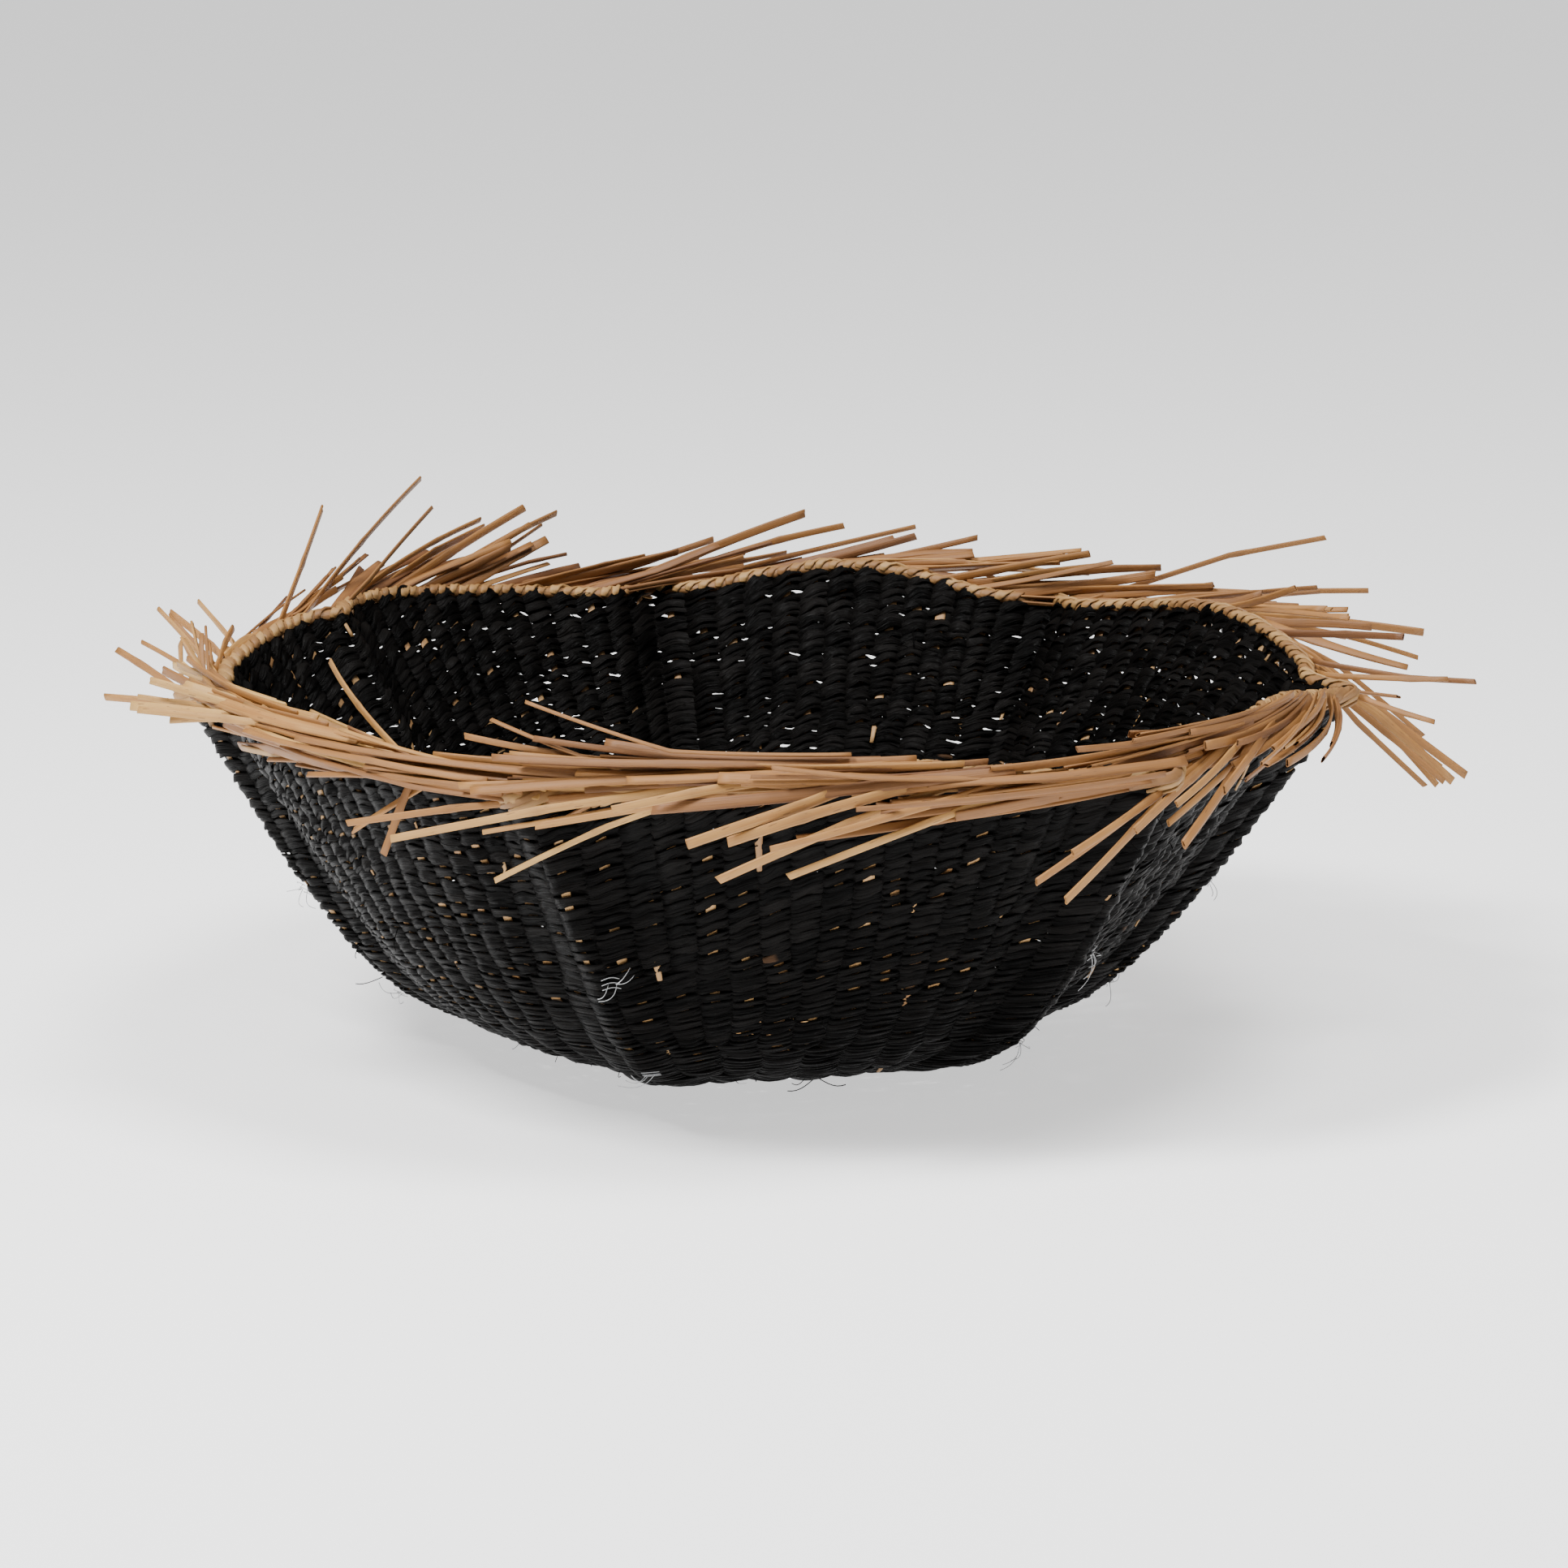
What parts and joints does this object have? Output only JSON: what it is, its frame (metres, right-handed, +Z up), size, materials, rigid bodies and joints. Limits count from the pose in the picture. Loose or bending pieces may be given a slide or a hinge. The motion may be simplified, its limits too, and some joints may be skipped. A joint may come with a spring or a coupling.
{
  "type": "woven basket",
  "caption": "Wide shallow twined basket with a pleated black wall, a natural straw border and a ragged fringe of loose stake ends.",
  "frame": {"origin": "centre of the base's flat underside", "axes": "+Z up out of the bowl's mouth, -Y towards the front pair of pleats, +X to the right"},
  "size_m": [0.6381, 0.6032, 0.2308],
  "materials": {
    "black_weft": "dyed flat leaf strips, twined in pairs, dull satin",
    "straw_stake": "natural split straw, dry and matt",
    "straw_border": "natural straw folded over and twined, satin",
    "fringe_straw": "natural flattened straw stalks, satin with brown flecks",
    "clear_thread": "fine pale nylon thread"
  },
  "bodies": {
    "root": {"base_weft_under": "black_weft", "base_weft_top": "black_weft", "base_cross_lower": "straw_stake", "base_cross_upper": "straw_stake", "base_stakes": "straw_stake", "side_stakes": "straw_stake", "rim_stakes": "straw_stake", "outer_weft_1": "black_weft", "inner_weft_1": "black_weft", "outer_weft_2": "black_weft", "inner_weft_2": "black_weft", "outer_weft_3": "black_weft", "inner_weft_3": "black_weft", "outer_weft_4": "black_weft", "inner_weft_4": "black_weft", "outer_weft_5": "black_weft", "inner_weft_5": "black_weft", "outer_weft_6": "black_weft", "inner_weft_6": "black_weft", "rim_border": "straw_border", "fringe_left": "fringe_straw", "fringe_back_left": "fringe_straw", "fringe_back": "fringe_straw", "fringe_back_right": "fringe_straw", "fringe_right": "fringe_straw", "fringe_front_right": "fringe_straw", "fringe_front": "fringe_straw", "fringe_front_left": "fringe_straw", "upper_tie_left": "clear_thread", "lower_tie_left": "clear_thread", "upper_tie_back_left": "clear_thread", "lower_tie_back_left": "clear_thread", "upper_tie_back_right": "clear_thread", "lower_tie_back_right": "clear_thread", "upper_tie_right": "clear_thread", "lower_tie_right": "clear_thread", "upper_tie_front_right": "clear_thread", "lower_tie_front_right": "clear_thread", "upper_tie_front_left": "clear_thread", "lower_tie_front_left": "clear_thread"}
  },
  "joints": []
}
